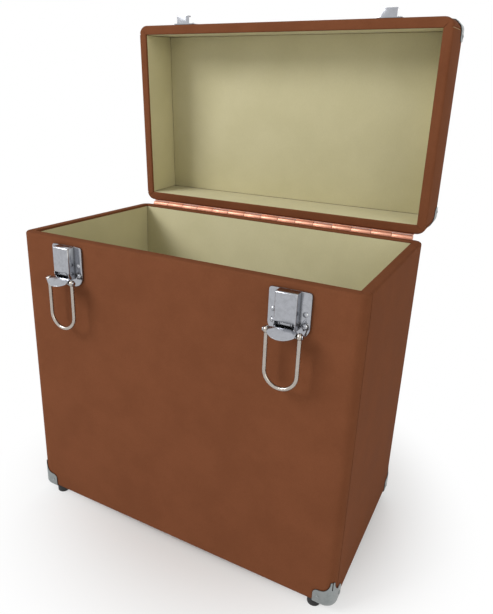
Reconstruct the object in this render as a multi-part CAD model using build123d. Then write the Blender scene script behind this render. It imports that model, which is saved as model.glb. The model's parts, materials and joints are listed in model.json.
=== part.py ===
from build123d import *
import math
import os

# Record carrying case with a hinged lid, standing open. Millimetres, +Z up, +X to the
# right seen from the front, -Y towards the front, z = 0 under the feet.

# Case and lid
case_width = 360.0
case_depth = 208.0
case_height = 307.0
lid_height = 61.0
lid_open_angle = 87.0
lid_rim_gap = 0.05
edge_radius = 10.0
base_edge_radius = 5.0
rim_edge_radius = 2.5

# Wall layers
cover_thickness = 0.8
board_thickness = 8.0
lining_thickness = 1.2
rim_turn = 1.6
rim_reveal = 0.4
lining_gap = 0.4

# Piano hinge along the back
hinge_axis_offset = 4.5
hinge_leaf_height = 20.0
hinge_leaf_thickness = 1.5
hinge_barrel_radius = 3.3
hinge_pin_radius = 1.5
hinge_knuckles = 15
hinge_end_gap = 2.0
hinge_knuckle_gap = 0.4
hinge_screw_height = 12.0
hinge_screws = 6
stop_depth = 6.5
stop_width = 2.4
stop_contact_gap = 0.05
stop_pin_clearance = 0.6

# Corner protectors
protector_thickness = 1.0
protector_seat_gap = 0.1
protector_leg_length = 20.0
protector_leg_height = 17.0
protector_leg_round = 5.0
protector_spike_height = 29.0
protector_spike_width = 2.0
protector_slit_width = 0.8
protector_slit_depth = 9.0
protector_base_leg = 13.0
protector_base_round = 5.0
nail_inset = 5.0

# Feet
foot_radius = 6.5
foot_height = 8.0
foot_edge_round = 1.2
foot_gap = 1.0
foot_inset_y = 8.5
foot_recess_radius = 3.6
foot_recess_depth = 3.0

# Draw latches
latch_inset = 62.0
latch_drop = 6.0
plate_width = 37.0
plate_height = 40.0
plate_thickness = 1.0
plate_bottom_radius = 11.0
plate_top_radius = 2.5
housing_width = 19.0
housing_depth = 11.0
housing_height = 25.0
housing_sheet = 0.9
housing_edge_radius = 1.5
cheek_radius = 4.6
pivot_out = 6.0
pivot_drop = 27.5
latch_pin_radius = 1.2
lug_gap = 0.4
lug_thickness = 1.0
lug_radius = 2.9
lever_barrel_radius = 2.8
lever_barrel_half = 4.6
lever_sheet = 1.0
lever_neck_gap = 0.4
lever_wing_half = 12.0
lever_shoulder_gap = 0.8
lever_corner_reach = 13.0
lever_root_gap = 0.5
lever_reach = 16.55
lever_drop = 8.5
lever_travel = 50.0
lever_eye_wall = 1.2
bail_arm_out = 6.2
bail_arm_drop = 5.8
bail_pin_radius = 1.1
bail_pin_head_radius = 1.9
bail_pin_head = 0.8
bail_wire_radius = 1.75
bail_side_gap = 0.7
bail_eye_radius = 3.1
bail_eye_half = 1.9
spring_thickness = 0.5
spring_width = 7.0
spring_clearance = 0.4
spring_foot = 8.0
latch_rivet_rows = (18.5, 28.5)

# Keepers
keeper_lift = 1.5
keeper_width = 24.0
keeper_height = 17.5
keeper_sheet = 1.2
hook_width = 16.0
hook_depth = 9.2
hook_lip = 7.5
hook_corner_radius = 3.0
keeper_rivet_height = 13.2
keeper_rivet_half = 6.5
bail_seat_gap = 0.3

# Handle
handle_half_span = 60.0
handle_bar_half = 53.0
handle_reach = 30.0
handle_bend_radius = 16.0
handle_axis_height = 10.0
handle_core_radius = 2.5
handle_grip_radius = 7.5
handle_grip_start = 10.0
handle_eye_radius = 4.2
handle_eye_half = 3.5
handle_pin_radius = 2.0
handle_pin_head_radius = 3.0
handle_pin_head = 1.0
bracket_lug_gap = 0.5
bracket_sheet = 1.5
bracket_plate = 1.2
bracket_length = 34.0
bracket_width = 16.0
bracket_lug_radius = 4.5
bracket_rivet_offset = 12.5

# Fasteners and fits
rivet_head_radius = 2.3
rivet_head_height = 1.3
rivet_shank_radius = 1.2
rivet_shank_length = 6.0
nail_head_radius = 2.2
nail_head_height = 0.9
nail_shank_radius = 0.8
nail_shank_length = 5.5
screw_head_radius = 2.8
screw_head_height = 1.6
screw_shank_radius = 1.4
screw_shank_length = 6.0
shank_clearance = 0.05
running_clearance = 0.05

# Places that follow from the sizes
rim_z = foot_height + case_height
wall = cover_thickness + board_thickness + lining_thickness
half_width = case_width / 2
half_depth = case_depth / 2
inner_half_width = half_width - wall
inner_half_depth = half_depth - wall
hinge_y = half_depth + hinge_axis_offset
hinge_axis = Axis((0, hinge_y, rim_z), (1, 0, 0))
latch_places = {"left": -(half_width - latch_inset), "right": half_width - latch_inset}
latch_top = rim_z - latch_drop
foot_inset_x = protector_base_leg + foot_gap + foot_radius
lever_slope = math.atan2(lever_drop, lever_reach)
lever_length = math.hypot(lever_reach, lever_drop)
bail_half = lever_wing_half + bail_side_gap + bail_wire_radius
bail_arm = math.hypot(bail_arm_out, bail_arm_drop)

# The whole is centred front to back on the opened case.
handle_back = handle_axis_height + handle_grip_radius
lid_lean = hinge_y * math.cos(math.radians(lid_open_angle))
back_reach = hinge_y + lid_height + handle_back - lid_lean
front_reach = half_depth + pivot_out + lever_reach + lever_sheet * math.sin(lever_slope)
centre_y = round((back_reach - front_reach) / 2, 3)


def block(x_range, y_range, z_range):
    """A box between two values along each axis."""
    spans = (x_range, y_range, z_range)
    sizes = [high - low for low, high in spans]
    middle = [(high + low) / 2 for low, high in spans]
    return Pos(*middle) * Box(*sizes)


def rod(start, end, radius):
    """A round bar from one point to another."""
    axis = Vector(*end) - Vector(*start)
    middle = (Vector(*end) + Vector(*start)) * 0.5
    return Plane(middle, z_dir=axis) * Cylinder(radius, axis.length)


def opened(shape):
    """Turns a lid piece from its closed place to its open one."""
    return shape.rotate(hinge_axis, -lid_open_angle)


def opened_point(y, z):
    """Where a point of the closed lid, seen from the side, lies when the lid is open."""
    turn = math.radians(lid_open_angle)
    back, up = y - hinge_y, z - rim_z
    moved_back = back * math.cos(turn) + up * math.sin(turn)
    moved_up = up * math.cos(turn) - back * math.sin(turn)
    return (hinge_y + moved_back, rim_z + moved_up)


def solids_of(shapes):
    """Gathers separate solids in one compound."""
    return Compound([solid for shape in shapes for solid in shape.solids()])


# ---------------------------------------------------------------- case and lid shells


def shell_block(inset, z_range, rim_at_top):
    """The outer form of the case or lid, drawn in by an inset, with rounded edges."""
    z_low, z_high = z_range[0] + inset, z_range[1] - inset
    half_x, half_y = half_width - inset, half_depth - inset
    form = block((-half_x, half_x), (-half_y, half_y), (z_low, z_high))
    form = fillet(form.edges().filter_by(Axis.Z), edge_radius - inset)
    faces = form.faces().sort_by(Axis.Z)
    rim_face = faces[-1] if rim_at_top else faces[0]
    end_face = faces[0] if rim_at_top else faces[-1]
    rim_edges = rim_face.edges()
    end_edges = end_face.edges()
    form = fillet(rim_edges, rim_edge_radius - inset)
    return fillet(end_edges_of(form, end_edges), base_edge_radius - inset)


def end_edges_of(form, wanted):
    """The edges of a form that lie where the wanted edges were."""
    height = wanted[0].center().Z
    return [edge for edge in form.edges() if all(abs(v.Z - height) < 1e-6 for v in edge.vertices())]


def cavity(inset, z_range):
    """The straight space inside walls that are an inset thick."""
    half_x, half_y = half_width - inset, half_depth - inset
    return block((-half_x, half_x), (-half_y, half_y), z_range)


class Shell:
    """Boards, cover and linings of one half, with the rim at the top or the bottom."""

    def __init__(self, z_range, rim_at_top):
        self.z_range = z_range
        self.rim_at_top = rim_at_top
        self.rim = z_range[1] if rim_at_top else z_range[0]
        self.end = z_range[0] if rim_at_top else z_range[1]
        self.inward = 1 if rim_at_top else -1

    def level(self, from_end):
        """A height measured from the closed end towards the rim."""
        return self.end + self.inward * from_end

    def below_rim(self, distance):
        """A height measured from the rim towards the closed end."""
        return self.rim - self.inward * distance

    def span(self, low, high):
        """Two heights in rising order."""
        return (min(low, high), max(low, high))

    def cover(self):
        """The leathercloth skin with its cap over the rim and short turn-in."""
        skin = shell_block(0, self.z_range, self.rim_at_top)
        skin -= shell_block(cover_thickness, self.z_range, self.rim_at_top)
        past_rim = self.below_rim(-1)
        skin -= cavity(wall, self.span(self.below_rim(2 * cover_thickness), past_rim))
        turn = self.span(self.below_rim(cover_thickness), self.below_rim(rim_turn))
        lip = cavity(wall - lining_thickness, turn) - cavity(wall, turn)
        return skin + lip

    def boards(self):
        """The five boards: front, back, left, right and the closed end."""
        core = shell_block(cover_thickness, self.z_range, self.rim_at_top)
        board_in = cover_thickness + board_thickness
        floor = self.level(board_in)
        far = self.below_rim(-1)
        side_x = half_width - board_in
        side_y = half_depth - board_in
        wide = (-half_width, half_width)
        walls = self.span(floor, far)
        pieces = {
            "front": block(wide, (-half_depth, -side_y), walls),
            "back": block(wide, (side_y, half_depth), walls),
            "left": block((-half_width, -side_x), (-side_y, side_y), walls),
            "right": block((side_x, half_width), (-side_y, side_y), walls),
            "end": block(wide, (-half_depth, half_depth), self.span(self.level(-1), floor)),
        }
        return {name: core & piece for name, piece in pieces.items()}

    def wall_lining(self):
        """Four lining boards between the closed end's board and the rim's turn-in."""
        low = self.level(cover_thickness + board_thickness)
        heights = self.span(low, self.below_rim(rim_turn + rim_reveal))
        outer_x = half_width - wall + lining_thickness
        outer_y = half_depth - wall + lining_thickness
        front = block((-outer_x, outer_x), (-outer_y, -inner_half_depth), heights)
        back = block((-outer_x, outer_x), (inner_half_depth, outer_y), heights)
        side_y = inner_half_depth - lining_gap
        left = block((-outer_x, -inner_half_width), (-side_y, side_y), heights)
        right = block((inner_half_width, outer_x), (-side_y, side_y), heights)
        return solids_of([front, back, left, right])

    def end_lining(self):
        """The lining board laid last on the floor of the case or inside the lid's top."""
        low = self.level(cover_thickness + board_thickness)
        return cavity(wall + lining_gap, self.span(low, self.level(wall)))


# ------------------------------------------------------------------------- fasteners


def dome_fastener(head_radius, head_height, shank_radius, shank_length):
    """A domed head on the +Z side of the origin with its shank below."""
    sphere_radius = (head_radius**2 + head_height**2) / (2 * head_height)
    dome = Pos(0, 0, head_height - sphere_radius) * Sphere(sphere_radius)
    dome &= Pos(0, 0, head_height / 2) * Cylinder(head_radius + 1, head_height)
    return dome + Pos(0, 0, -shank_length / 2) * Cylinder(shank_radius, shank_length)


def rivet():
    return dome_fastener(rivet_head_radius, rivet_head_height, rivet_shank_radius, rivet_shank_length)


def nail():
    return dome_fastener(nail_head_radius, nail_head_height, nail_shank_radius, nail_shank_length)


def shank_hole(radius, length):
    """What a shank needs cut away, a little past the seat of its head."""
    return Pos(0, 0, (1 - length) / 2) * Cylinder(radius + shank_clearance, length + 1)


def rivet_hole():
    return shank_hole(rivet_shank_radius, rivet_shank_length)


def nail_hole():
    return shank_hole(nail_shank_radius, nail_shank_length)


def facing_front(x, y, z):
    """A place whose +Z looks to the front of the case."""
    return Location((x, y, z)) * Rotation(90, 0, 0)


def facing_back(x, y, z):
    """A place whose +Z looks to the back of the case."""
    return Location((x, y, z)) * Rotation(-90, 0, 0)


def at_places(places, shape):
    """Copies of a shape at several places."""
    return solids_of([place * shape for place in places])


# ------------------------------------------------------------------- corner protectors


def protector_past():
    """How far an outline runs past the case's corner, to clear the protector's outside."""
    return protector_thickness + protector_seat_gap + 1


def protector_outline():
    """One leaf of a protector: from the corner at (0, 0), x along the base, y up the edge."""
    past = protector_past()
    outer_radius = edge_radius + protector_seat_gap + protector_thickness
    diagonal = outer_radius * (1 - math.sqrt(0.5)) - protector_seat_gap - protector_thickness
    leg, lobe = protector_leg_length, protector_leg_length - protector_leg_round
    top, spike = protector_leg_height, protector_spike_height
    tip = diagonal + protector_spike_width
    sweep_radius = ((lobe - tip) ** 2 + (spike - top) ** 2) / (2 * (spike - top))
    ring = [
        Line((-past, -past), (leg, -past)),
        Line((leg, -past), (leg, top - protector_leg_round)),
        RadiusArc((leg, top - protector_leg_round), (lobe, top), -protector_leg_round),
        RadiusArc((lobe, top), (tip, spike), sweep_radius),
        Line((tip, spike), (-past, spike)),
        Line((-past, spike), (-past, -past)),
    ]
    return make_face(Curve() + ring)


def base_outline():
    """The leaf under the base, as wide along the front as along the side."""
    past = protector_past()
    leg, low = protector_base_leg, protector_base_leg - protector_base_round
    ring = [
        Line((-past, -past), (leg, -past)),
        Line((leg, -past), (leg, low)),
        RadiusArc((leg, low), (low, leg), -protector_base_round),
        Line((low, leg), (-past, leg)),
        Line((-past, leg), (-past, -past)),
    ]
    return make_face(Curve() + ring)


def protector(z_range, rim_at_top):
    """The protector at the front right corner of a half's closed end."""
    outer = shell_block(-protector_seat_gap - protector_thickness, z_range, rim_at_top)
    inner = shell_block(-protector_seat_gap, z_range, rim_at_top)
    end = z_range[0] if rim_at_top else z_range[1]
    rise = 1 if rim_at_top else -1
    corner = Vector(half_width, -half_depth, end)
    depth = edge_radius + protector_thickness
    near = 2 * protector_spike_height
    front = Plane(corner, x_dir=(-1, 0, 0), z_dir=(0, rise, 0))
    under = Plane(corner, x_dir=(-1, 0, 0), z_dir=(0, 0, -1))
    zone = extrude(front * protector_outline(), depth, both=True)
    zone += extrude(under * base_outline(), base_edge_radius + protector_thickness, both=True)
    front_half = extrude(Plane(corner, z_dir=(-1, -1, 0)) * Rectangle(near, near), near)
    half = (((outer & front_half) - inner) & zone)
    slit_middle = corner + Vector(0, 0, rise * protector_spike_height)
    slit_size = (near, protector_slit_width, 2 * protector_slit_depth)
    slit = Location(slit_middle) * Rotation(0, 0, -45) * Box(*slit_size)
    return half + half.mirror(Plane(corner, z_dir=(1, 1, 0))) - slit


def protector_nails(end, outward):
    """Places of the nails in the front right protector: front, side and end face."""
    out = protector_thickness + protector_seat_gap
    along = protector_leg_length - nail_inset
    up = protector_leg_height / 2
    height = end - outward * up
    front = Location((half_width - along, -half_depth - out, height)) * Rotation(90, 0, 0)
    side = Location((half_width + out, -half_depth + along, height)) * Rotation(0, 90, 0)
    turn = Rotation(180, 0, 0) if outward < 0 else Rotation(0, 0, 0)
    middle = protector_base_leg / 2
    under = Location((half_width - middle, middle - half_depth, end + outward * out)) * turn
    return [front, side, under]


def four_corners(shape):
    """A front right shape and its mirror images, by corner name."""
    left = shape.mirror(Plane.YZ)
    return {
        "front_right": shape,
        "front_left": left,
        "back_right": shape.mirror(Plane.XZ),
        "back_left": left.mirror(Plane.XZ),
    }


# ----------------------------------------------------------------------- piano hinge


def knuckle_spans():
    """The stretches of the barrel along X, from left to right."""
    half = half_width - edge_radius - hinge_end_gap
    pitch = 2 * half / hinge_knuckles
    return [(-half + i * pitch, -half + (i + 1) * pitch) for i in range(hinge_knuckles)]


def hinge_leaf(spans, others, z_sign):
    """One leaf: a plate on the back face with every second knuckle of the barrel."""
    half = -knuckle_spans()[0][0]
    low, high = sorted((z_sign * hinge_knuckle_gap / 2, z_sign * hinge_leaf_height))
    plate_y = (half_depth, half_depth + hinge_leaf_thickness)
    leaf = block((-half, half), plate_y, (rim_z + low, rim_z + high))
    clear = hinge_knuckle_gap
    for x_low, x_high in others:
        start, end = (x_low - clear / 2, hinge_y, rim_z), (x_high + clear / 2, hinge_y, rim_z)
        leaf -= rod(start, end, hinge_barrel_radius + clear)
    for x_low, x_high in spans:
        start, end = (x_low + clear / 2, hinge_y, rim_z), (x_high - clear / 2, hinge_y, rim_z)
        knuckle = rod(start, end, hinge_barrel_radius)
        web = block((start[0], end[0]), plate_y, sorted((rim_z, rim_z + z_sign)))
        leaf += knuckle + web
    bore = hinge_pin_radius + running_clearance
    return leaf - rod((-half - 1, hinge_y, rim_z), (half + 1, hinge_y, rim_z), bore)


def stop_lugs(spans):
    """Teeth on the lid's knuckles that meet the case leaf when the lid is open."""
    contact = half_depth + hinge_leaf_thickness + stop_contact_gap
    low, high = rim_z - stop_depth, rim_z - hinge_pin_radius
    relief = hinge_pin_radius + stop_pin_clearance
    lugs = []
    for x_low, x_high in spans:
        x_range = (x_low + hinge_knuckle_gap, x_high - hinge_knuckle_gap)
        tooth = block(x_range, (contact, contact + stop_width), (low, high))
        lugs.append(tooth - rod((x_low, hinge_y, rim_z), (x_high, hinge_y, rim_z), relief))
    return lugs


def hinge_pin():
    """The wire through all knuckles."""
    half = -knuckle_spans()[0][0]
    return rod((-half, hinge_y, rim_z), (half, hinge_y, rim_z), hinge_pin_radius)


def hinge_screws_places(z_sign):
    """Screw places in the middle of every leaf, evenly spaced."""
    half = -knuckle_spans()[0][0]
    pitch = 2 * half / hinge_screws
    y = half_depth + hinge_leaf_thickness
    z = rim_z + z_sign * hinge_screw_height
    return [facing_back(-half + (i + 0.5) * pitch, y, z) for i in range(hinge_screws)]


# ------------------------------------------------------------------------ draw latch
# Latch pieces are drawn at the latch's own origin: the middle of the plate's top edge on
# the case's front face, -Y outwards. Out and drop are distances from that origin.


def side_section(points, x_low, x_high):
    """A slab between two X values from its (out, drop) outline."""
    ring = Polyline(*[(-out, -drop) for out, drop in points], close=True)
    face = make_face(ring)
    slab = extrude(Plane.YZ * face, x_high - x_low)
    return Pos(x_low, 0, 0) * slab


def pivot_rod(out, drop, radius, x_low, x_high):
    """A bar across the latch."""
    return rod((x_low, -out, -drop), (x_high, -out, -drop), radius)


def plate_outline():
    """The plate's outline, seen from the front."""
    half = plate_width / 2
    face = Pos(0, -plate_height / 2) * Rectangle(plate_width, plate_height)
    low = [v for v in face.vertices() if v.Y < -half]
    face = fillet(low, plate_bottom_radius)
    high = [v for v in face.vertices() if v.Y > -1e-6]
    return fillet(high, plate_top_radius)


def front_plane(out):
    """The plane of a latch front, out from the case's face."""
    return Plane((0, -out, 0), x_dir=(1, 0, 0), z_dir=(0, -1, 0))


def latch_rivet_places():
    """Rivets in both flanges of a latch."""
    flange = (plate_width + housing_width) / 4
    out = plate_thickness + housing_sheet
    return [facing_front(side * flange, -out, -drop) for drop in latch_rivet_rows for side in (-1, 1)]


def latch_base():
    """The back plate with two lugs that carry the lever's pin."""
    plate = extrude(front_plane(0) * plate_outline(), plate_thickness)
    inner = lever_barrel_half + lug_gap
    lug_points = [(0, pivot_drop - lug_radius), (pivot_out, pivot_drop - lug_radius)]
    lug_points += [(pivot_out, pivot_drop + lug_radius), (0, pivot_drop + lug_radius)]
    for low, high in ((inner, inner + lug_thickness), (-inner - lug_thickness, -inner)):
        plate += side_section(lug_points, low, high)
        plate += pivot_rod(pivot_out, pivot_drop, lug_radius, low, high)
    hole = latch_pin_radius + shank_clearance
    plate -= pivot_rod(pivot_out, pivot_drop, hole, -plate_width, plate_width)
    return plate


def latch_housing():
    """The pressed cover: flanges over the plate and a raised box, open below."""
    outline = plate_outline()
    flange = extrude(front_plane(plate_thickness) * outline, housing_sheet)
    half = housing_width / 2
    sheet = housing_sheet
    start = plate_thickness
    outer = block((-half, half), (-housing_depth, -start), (-pivot_drop, 0))
    upright_edges = outer.edges().filter_by(Axis.Z).group_by(Axis.Y)[0]
    top_edge = outer.edges().filter_by(Axis.X).group_by(Axis.Y)[0].group_by(Axis.Z)[-1]
    outer = fillet(upright_edges + top_edge, housing_edge_radius)
    outer &= block((-half, half), (-housing_depth, 0), (-housing_height, 1))
    corner = (housing_depth, housing_height)
    cheek_points = [(start, housing_height), corner, (pivot_out + cheek_radius, pivot_drop)]
    cheek_points += [(pivot_out, pivot_drop + cheek_radius), (start, pivot_drop + cheek_radius)]
    cheek = side_section(cheek_points, -half, half)
    cheek += pivot_rod(pivot_out, pivot_drop, cheek_radius, -half, half)
    cheek &= block((-half, half), (-housing_depth, -start), (-2 * plate_height, -housing_height))
    inside = (-half + sheet, half - sheet)
    hollow = block(inside, (-housing_depth + sheet, 1), (-pivot_drop - cheek_radius, -sheet))
    mouth = block(inside, (-2 * housing_depth, -start - sheet), (-2 * plate_height, -housing_height))
    shape = flange + outer + cheek - hollow - mouth
    hole = latch_pin_radius + shank_clearance
    return shape - pivot_rod(pivot_out, pivot_drop, hole, -half + sheet, half - sheet)


def latch_pin():
    """The lever's pin, held between the housing's cheeks."""
    half = housing_width / 2 - housing_sheet - lug_gap / 2
    return pivot_rod(pivot_out, pivot_drop, latch_pin_radius, -half, half)


def latch_spring():
    """A leaf that bears up under the lever's barrel from the plate."""
    base = plate_thickness
    tip = pivot_out - lever_barrel_radius - spring_clearance
    top = housing_sheet + spring_clearance
    points = [(base, top), (base + spring_thickness, top), (base + spring_thickness, top + spring_foot)]
    points += [(tip, pivot_drop - 3), (tip, pivot_drop + 2), (tip - spring_thickness, pivot_drop + 2)]
    points += [(tip - spring_thickness, pivot_drop - 3), (base, top + spring_foot)]
    return side_section(points, -spring_width / 2, spring_width / 2)


def lever_sheet_outline():
    """The lever's top seen square on: neck, shoulders and curved front edge."""
    neck = housing_width / 2 - housing_sheet - lever_neck_gap
    shoulder = (housing_depth - pivot_out + lever_shoulder_gap) / math.cos(lever_slope)
    root = lug_radius + lever_root_gap
    barrel, half, corner = lever_barrel_half, lever_wing_half, lever_corner_reach
    ring = [
        Line((-barrel, 0), (-barrel, root)),
        Line((-barrel, root), (-neck, root)),
        Line((-neck, root), (-neck, shoulder)),
        Line((-neck, shoulder), (-half, shoulder)),
        Line((-half, shoulder), (-half, corner)),
        ThreePointArc((-half, corner), (0, lever_length), (half, corner)),
        Line((half, corner), (half, shoulder)),
        Line((half, shoulder), (neck, shoulder)),
        Line((neck, shoulder), (neck, root)),
        Line((neck, root), (barrel, root)),
        Line((barrel, root), (barrel, 0)),
        Line((barrel, 0), (-barrel, 0)),
    ]
    return make_face(Curve() + ring)


def latch_lever():
    """The thumb lever: a rolled barrel, a bill and two wings that carry the bail's pin."""
    upward = (0, -math.sin(lever_slope), math.cos(lever_slope))
    across = Plane((0, -pivot_out, -pivot_drop), x_dir=(1, 0, 0), z_dir=upward)
    outline = across * Rot(0, 0, 180) * lever_sheet_outline()
    bill = extrude(outline, lever_sheet)
    barrel = pivot_rod(pivot_out, pivot_drop, lever_barrel_radius, -lever_barrel_half, lever_barrel_half)
    shoulder = housing_depth + lever_shoulder_gap
    bail_out, bail_drop = pivot_out + bail_arm_out, pivot_drop + bail_arm_drop
    wing_top = pivot_drop - lever_sheet / 2 + (shoulder - pivot_out) * math.tan(lever_slope)
    far = pivot_out + lever_corner_reach * math.cos(lever_slope) - lever_sheet
    far_top = pivot_drop - lever_sheet / 2 + (far - pivot_out) * math.tan(lever_slope)
    wing_points = [(shoulder, wing_top), (far, far_top), (bail_out + bail_wire_radius, bail_drop)]
    wing_points += [(bail_out - bail_wire_radius, bail_drop)]
    lever = bill + barrel
    for low in (lever_wing_half - lever_sheet, -lever_wing_half):
        lever += side_section(wing_points, low, low + lever_sheet)
        lever += pivot_rod(bail_out, bail_drop, bail_pin_radius + lever_eye_wall, low, low + lever_sheet)
    bail_bore = bail_pin_radius + running_clearance
    lever -= pivot_rod(bail_out, bail_drop, bail_bore, -plate_width, plate_width)
    pin_bore = latch_pin_radius + running_clearance
    return lever - pivot_rod(pivot_out, pivot_drop, pin_bore, -plate_width, plate_width)


def bail_pin():
    """The pin through the lever's wings and the bail's eyes."""
    out, drop = pivot_out + bail_arm_out, pivot_drop + bail_arm_drop
    half = bail_half + bail_eye_half + bail_side_gap / 2
    pin = pivot_rod(out, drop, bail_pin_radius, -half, half)
    pin += pivot_rod(out, drop, bail_pin_head_radius, half, half + bail_pin_head)
    return pin + pivot_rod(out, drop, bail_pin_head_radius, -half - bail_pin_head, -half)


def bail_length():
    """From the bail's pivot to the centre of its round end, so that it seats in the hook."""
    closed_turn = math.atan2(bail_arm_drop, bail_arm_out) + math.radians(lever_travel)
    closed_drop = pivot_drop + bail_arm * math.sin(closed_turn)
    seat = latch_drop + closed_drop + keeper_lift + keeper_sheet + bail_seat_gap
    inner = bail_half - bail_wire_radius
    return seat - math.sqrt(inner**2 - (hook_width / 2) ** 2)


def latch_bail():
    """The wire bail hanging from its pin: two eyes, two legs and a round end."""
    out, drop = pivot_out + bail_arm_out, pivot_drop + bail_arm_drop
    end = drop + bail_length()
    path = Curve() + [
        Line((-bail_half, -drop - bail_eye_radius / 2), (-bail_half, -end)),
        ThreePointArc((-bail_half, -end), (0, -end - bail_half), (bail_half, -end)),
        Line((bail_half, -end), (bail_half, -drop - bail_eye_radius / 2)),
    ]
    wire_path = front_plane(out) * path
    section = Plane(wire_path @ 0, z_dir=wire_path % 0) * Circle(bail_wire_radius)
    wire = sweep(section, path=wire_path)
    for side in (-1, 1):
        low = side * bail_half - bail_eye_half
        wire += pivot_rod(out, drop, bail_eye_radius, low, low + 2 * bail_eye_half)
    return wire - pivot_rod(out, drop, bail_pin_radius + running_clearance, -plate_width, plate_width)


# --------------------------------------------------------------------------- keepers


def keeper():
    """The catch on the lid: a riveted plate whose lower end is a hook for the bail."""
    low = latch_drop + keeper_lift
    half = keeper_width / 2
    face = block((-half, half), (-keeper_sheet, 0), (low, low + keeper_height))
    face = fillet(face.edges().filter_by(Axis.Y).group_by(Axis.Z)[-1], hook_corner_radius)
    hook_half = hook_width / 2
    floor = block((-hook_half, hook_half), (-hook_depth, 0), (low, low + keeper_sheet))
    lip = block((-hook_half, hook_half), (-hook_depth, keeper_sheet - hook_depth), (low, low + hook_lip))
    lip = fillet(lip.edges().filter_by(Axis.Y).group_by(Axis.Z)[-1], hook_corner_radius)
    return face + floor + lip


def keeper_rivet_places():
    z = latch_drop + keeper_rivet_height
    return [facing_front(side * keeper_rivet_half, -keeper_sheet, z) for side in (-1, 1)]


# ---------------------------------------------------------------------------- handle
# The handle is drawn lying on the closed lid towards the back, with its pivot axis along
# X through the origin; the lid's top face is an axis height below.


def handle_path():
    """The centre line of the handle from one eye to the other."""
    points = [(-handle_half_span, 0), (-handle_bar_half, handle_reach)]
    points += [(handle_bar_half, handle_reach), (handle_half_span, 0)]
    return FilletPolyline(*points, radius=handle_bend_radius)


def handle_bar(radius):
    """A round bar along the handle's centre line."""
    path = handle_path()
    section = Plane(path @ 0, z_dir=path % 0) * Circle(radius)
    return sweep(section, path=path)


def handle_grip():
    """The covered grip around the core, clear of the brackets."""
    grip = handle_bar(handle_grip_radius)
    wide = 2 * handle_half_span
    trimmed = grip & block((-wide, wide), (handle_grip_start, wide), (-wide, wide))
    return trimmed - handle_bar(handle_core_radius)


def handle_core():
    """The steel core with an eye at each end."""
    core = handle_bar(handle_core_radius)
    for side in (-1, 1):
        middle = side * handle_half_span
        core += rod((middle - handle_eye_half, 0, 0), (middle + handle_eye_half, 0, 0), handle_eye_radius)
    bore = handle_pin_radius + running_clearance
    return core - rod((-2 * handle_half_span, 0, 0), (2 * handle_half_span, 0, 0), bore)


def handle_bracket(side):
    """A riveted plate with two lugs around the core's eye."""
    middle = side * handle_half_span
    foot = -handle_axis_height
    plate_x = (middle - bracket_length / 2, middle + bracket_length / 2)
    plate = block(plate_x, (-bracket_width / 2, bracket_width / 2), (foot, foot + bracket_plate))
    plate = fillet(plate.edges().filter_by(Axis.Z), bracket_width / 3)
    inner = handle_eye_half + bracket_lug_gap
    for low, high in ((inner, inner + bracket_sheet), (-inner - bracket_sheet, -inner)):
        x_range = (middle + low, middle + high)
        plate += block(x_range, (-bracket_lug_radius, bracket_lug_radius), (foot, 0))
        plate += rod((x_range[0], 0, 0), (x_range[1], 0, 0), bracket_lug_radius)
    hole = handle_pin_radius + shank_clearance
    return plate - rod((plate_x[0], 0, 0), (plate_x[1], 0, 0), hole)


def handle_pin(side):
    """A headed pin through a bracket's lugs."""
    middle = side * handle_half_span
    half = handle_eye_half + bracket_lug_gap + bracket_sheet
    pin = rod((middle - half, 0, 0), (middle + half, 0, 0), handle_pin_radius)
    for low, high in ((half, half + handle_pin_head), (-half - handle_pin_head, -half)):
        pin += rod((middle + low, 0, 0), (middle + high, 0, 0), handle_pin_head_radius)
    return pin


def handle_rivet_places():
    z = bracket_plate - handle_axis_height
    offsets = (-bracket_rivet_offset, bracket_rivet_offset)
    return [Location((side * handle_half_span + x, 0, z)) for side in (-1, 1) for x in offsets]


# ------------------------------------------------------------------------------ feet


def foot():
    """A rubber foot with a recess for its screw, its top on the origin."""
    body = Pos(0, 0, -foot_height / 2) * Cylinder(foot_radius, foot_height)
    body = fillet(body.edges().group_by(Axis.Z)[0], foot_edge_round)
    recess = Cylinder(foot_recess_radius, foot_recess_depth)
    return body - Pos(0, 0, foot_recess_depth / 2 - foot_height) * recess - shank_hole_down()


def foot_clearance():
    """The round space that the front right corner protector leaves for its foot."""
    x, y = half_width - foot_inset_x, foot_inset_y - half_depth
    length = 2 * (foot_height + base_edge_radius)
    return Pos(x, y, 0) * Cylinder(foot_radius + foot_gap / 2, length)


def shank_hole_down():
    """The way of a foot's screw through foot, cover and board."""
    length = foot_height + screw_shank_length
    way = Cylinder(screw_shank_radius + shank_clearance, length)
    return Pos(0, 0, screw_shank_length - length / 2) * way


def foot_screw():
    """A pan-headed screw, head down in the foot's recess."""
    seat = -foot_height + foot_recess_depth
    head = Pos(0, 0, seat - screw_head_height / 2) * Cylinder(screw_head_radius, screw_head_height)
    top = screw_shank_length
    shank = Pos(0, 0, (seat + top) / 2) * Cylinder(screw_shank_radius, top - seat)
    return head + shank


def foot_places():
    """The four feet, by corner name."""
    x, y = half_width - foot_inset_x, half_depth - foot_inset_y
    signs = {"front_left": (-1, -1), "front_right": (1, -1), "back_left": (-1, 1), "back_right": (1, 1)}
    return {name: Location((sx * x, sy * y, foot_height)) for name, (sx, sy) in signs.items()}


# -------------------------------------------------------------------------- assembly


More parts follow.
